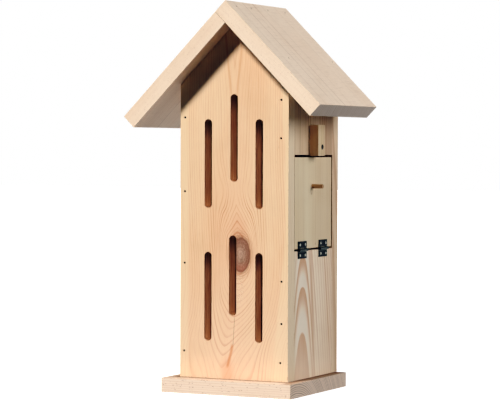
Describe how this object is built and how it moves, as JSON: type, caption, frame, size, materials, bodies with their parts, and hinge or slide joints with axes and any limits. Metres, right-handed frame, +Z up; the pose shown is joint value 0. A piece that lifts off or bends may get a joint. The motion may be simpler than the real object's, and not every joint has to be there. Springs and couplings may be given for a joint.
{
  "type": "insect hotel",
  "caption": "Gabled wooden insect house on a base board, with tall rounded slots in the front, a bottom-hinged side door with a dowel knob, a wooden turn button and a wall-hanging plate.",
  "frame": {"origin": "centre of the base board's underside", "axes": "+Z up, front with the slots towards -Y, door side towards +X"},
  "size_m": [0.2241, 0.1457, 0.4031],
  "materials": {
    "front_pine": "unfinished planed pine, warm",
    "side_pine": "unfinished planed pine, pale",
    "roof_pine": "unfinished planed pine, slightly greyed",
    "beech": "unfinished hardwood with short flecks",
    "dowel": "unfinished dowel",
    "button_wood": "unfinished planed pine offcut",
    "hinge_metal": "antique black",
    "hinge_nail": "blackened, worn bright on the domes",
    "dark_screw": "burnished black",
    "brad": "bright wire, slightly tarnished",
    "zinc": "zinc plated"
  },
  "bodies": {
    "house": {"base_board": "beech", "front_board": "front_pine", "back_board": "side_pine", "side_board_left": "side_pine", "side_board_right_lower": "side_pine", "side_board_right_upper": "side_pine", "roof_board_right": "roof_pine", "roof_board_left": "roof_pine", "hinge_front_leaf_frame": "hinge_metal", "hinge_back_leaf_frame": "hinge_metal", "hinge_front_pin": "hinge_metal", "hinge_back_pin": "hinge_metal", "turn_button_screw": "dark_screw", "hanger_plate": "zinc", "hinge_front_frame_nail_front": "hinge_nail", "hinge_front_frame_nail_back": "hinge_nail", "hinge_back_frame_nail_front": "hinge_nail", "hinge_back_frame_nail_back": "hinge_nail", "front_brad_1": "brad", "front_brad_2": "brad", "front_brad_3": "brad", "front_brad_4": "brad", "front_brad_5": "brad", "front_brad_6": "brad", "front_brad_7": "brad", "front_brad_8": "brad", "front_brad_9": "brad", "back_brad_1": "brad", "back_brad_2": "brad", "back_brad_3": "brad", "back_brad_4": "brad", "back_brad_5": "brad", "back_brad_6": "brad", "back_brad_7": "brad", "back_brad_8": "brad", "ridge_brad_1": "brad", "ridge_brad_2": "brad", "ridge_brad_3": "brad", "ridge_brad_4": "brad", "roof_brad_right_front": "brad", "roof_brad_right_back": "brad", "roof_brad_left_front": "brad", "roof_brad_left_back": "brad", "base_screw_front_left": "zinc", "base_screw_front_right": "zinc", "base_screw_back_left": "zinc", "base_screw_back_right": "zinc", "hanger_screw_top": "zinc", "hanger_screw_bottom": "zinc"},
    "door": {"door_board": "side_pine", "door_knob": "dowel", "hinge_front_leaf_door": "hinge_metal", "hinge_back_leaf_door": "hinge_metal", "hinge_front_door_nail_front": "hinge_nail", "hinge_front_door_nail_back": "hinge_nail", "hinge_back_door_nail_front": "hinge_nail", "hinge_back_door_nail_back": "hinge_nail"},
    "turn_button": {"turn_button": "button_wood"}
  },
  "joints": [
    {"name": "door_hinge", "type": "hinge", "parent": "house", "child": "door", "pos_m": [0.0637, 0.01, 0.1485], "axis": [0, 1, 0], "range_deg": [0, 170]},
    {"name": "turn_button_pivot", "type": "hinge", "parent": "house", "child": "turn_button", "pos_m": [0.0673, 0.0095, 0.2543], "axis": [1, 0, 0], "continuous": true}
  ]
}
